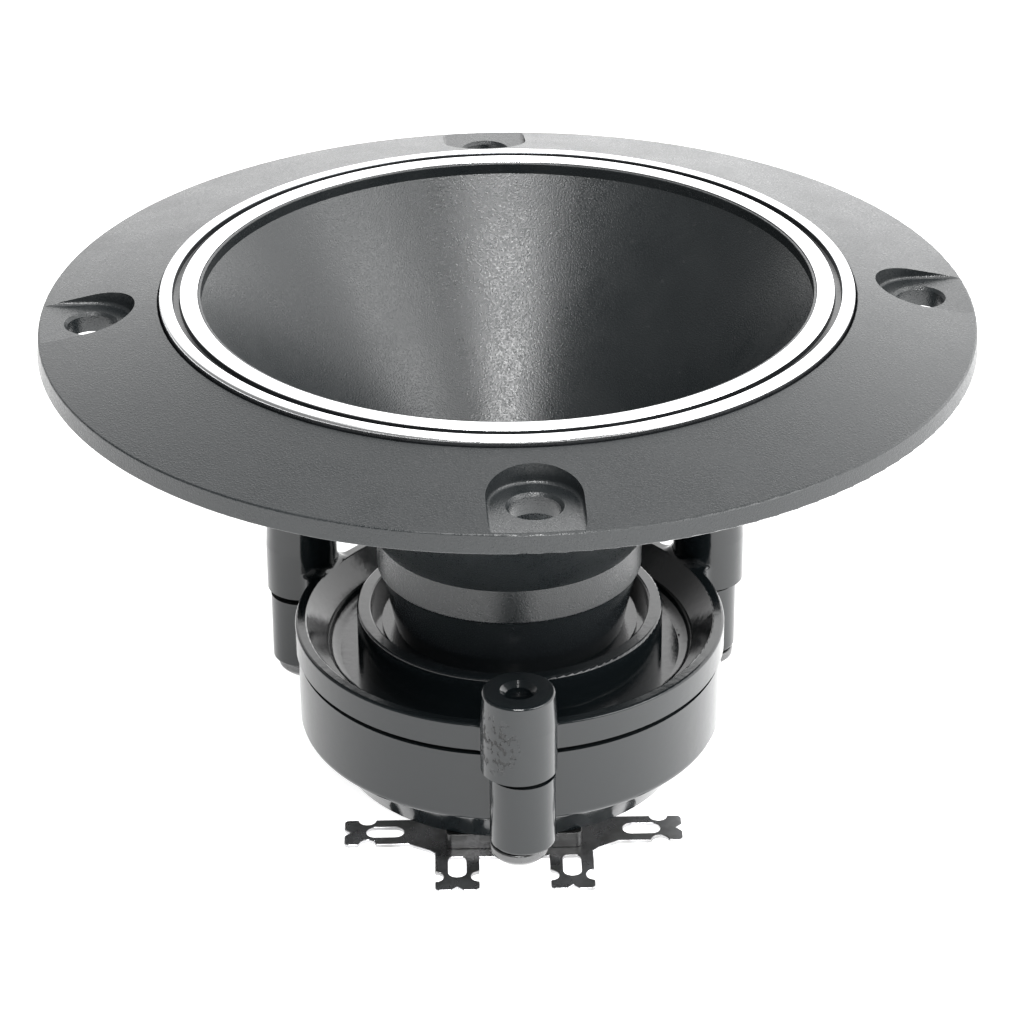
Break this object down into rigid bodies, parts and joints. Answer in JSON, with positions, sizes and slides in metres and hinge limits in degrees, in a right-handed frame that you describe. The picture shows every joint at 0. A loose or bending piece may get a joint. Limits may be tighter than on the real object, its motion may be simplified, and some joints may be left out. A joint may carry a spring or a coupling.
{
  "type": "car tweeter",
  "caption": "Horn-loaded car tweeter with a round bolt-on flange, a bright trim ring at the mouth and a compact driver with solder lugs behind.",
  "frame": {"origin": "centre of the bolt circle on the flange's rear face, where the tweeter meets its panel", "axes": "+Z along the horn's axis towards the listener, -Z into the panel; -Y is the side with the solder lugs and +X is to the right as seen from that side"},
  "size_m": [0.107, 0.107, 0.0647],
  "materials": {
    "horn_paint": "fine textured powder coat",
    "trim_metal": "bright turned",
    "housing_paint": "gloss enamel",
    "screw_steel": "black zinc plated",
    "gasket_rubber": "matt",
    "plug_plastic": "fine matt",
    "clamp_plastic": "matt",
    "plate_steel": "zinc plated",
    "magnet_ferrite": "ground ferrite",
    "pad_foam": "closed-cell foam",
    "pad_felt": "felt",
    "dome_metal": "satin foil",
    "surround_cloth": "doped cloth",
    "former_film": "amber film",
    "winding_copper": "enamelled copper",
    "terminal_metal": "tin plated",
    "block_plastic": "moulded",
    "lead_red": "insulated lead",
    "lead_black": "insulated lead"
  },
  "bodies": {
    "frame": {"horn_flange": "horn_paint", "trim_ring": "trim_metal", "throat_gasket": "gasket_rubber", "phase_plug": "plug_plastic", "front_housing": "housing_paint", "housing_gasket": "gasket_rubber", "rear_cover": "housing_paint", "housing_screws": "screw_steel", "top_plate": "plate_steel", "magnet": "magnet_ferrite", "yoke": "plate_steel", "motor_pad": "pad_foam", "damping_pad": "pad_felt", "lower_clamp_ring": "clamp_plastic", "upper_clamp_ring": "clamp_plastic", "surround": "surround_cloth", "coil_tab_right": "terminal_metal", "coil_tab_left": "terminal_metal", "lead_right": "lead_red", "lead_left": "lead_black", "terminal_block": "block_plastic", "terminal_lug_right": "terminal_metal", "terminal_lug_left": "terminal_metal", "terminal_rivets": "terminal_metal"},
    "diaphragm": {"diaphragm_dome": "dome_metal", "voice_coil_former": "former_film", "voice_coil_winding": "winding_copper"}
  },
  "joints": [
    {"name": "diaphragm_travel", "type": "slide", "parent": "frame", "child": "diaphragm", "axis": [0, 0, 1], "range_m": [-0.0003, 0.0003], "stiffness_N_per_m": 1000, "deforming": ["surround"]}
  ]
}
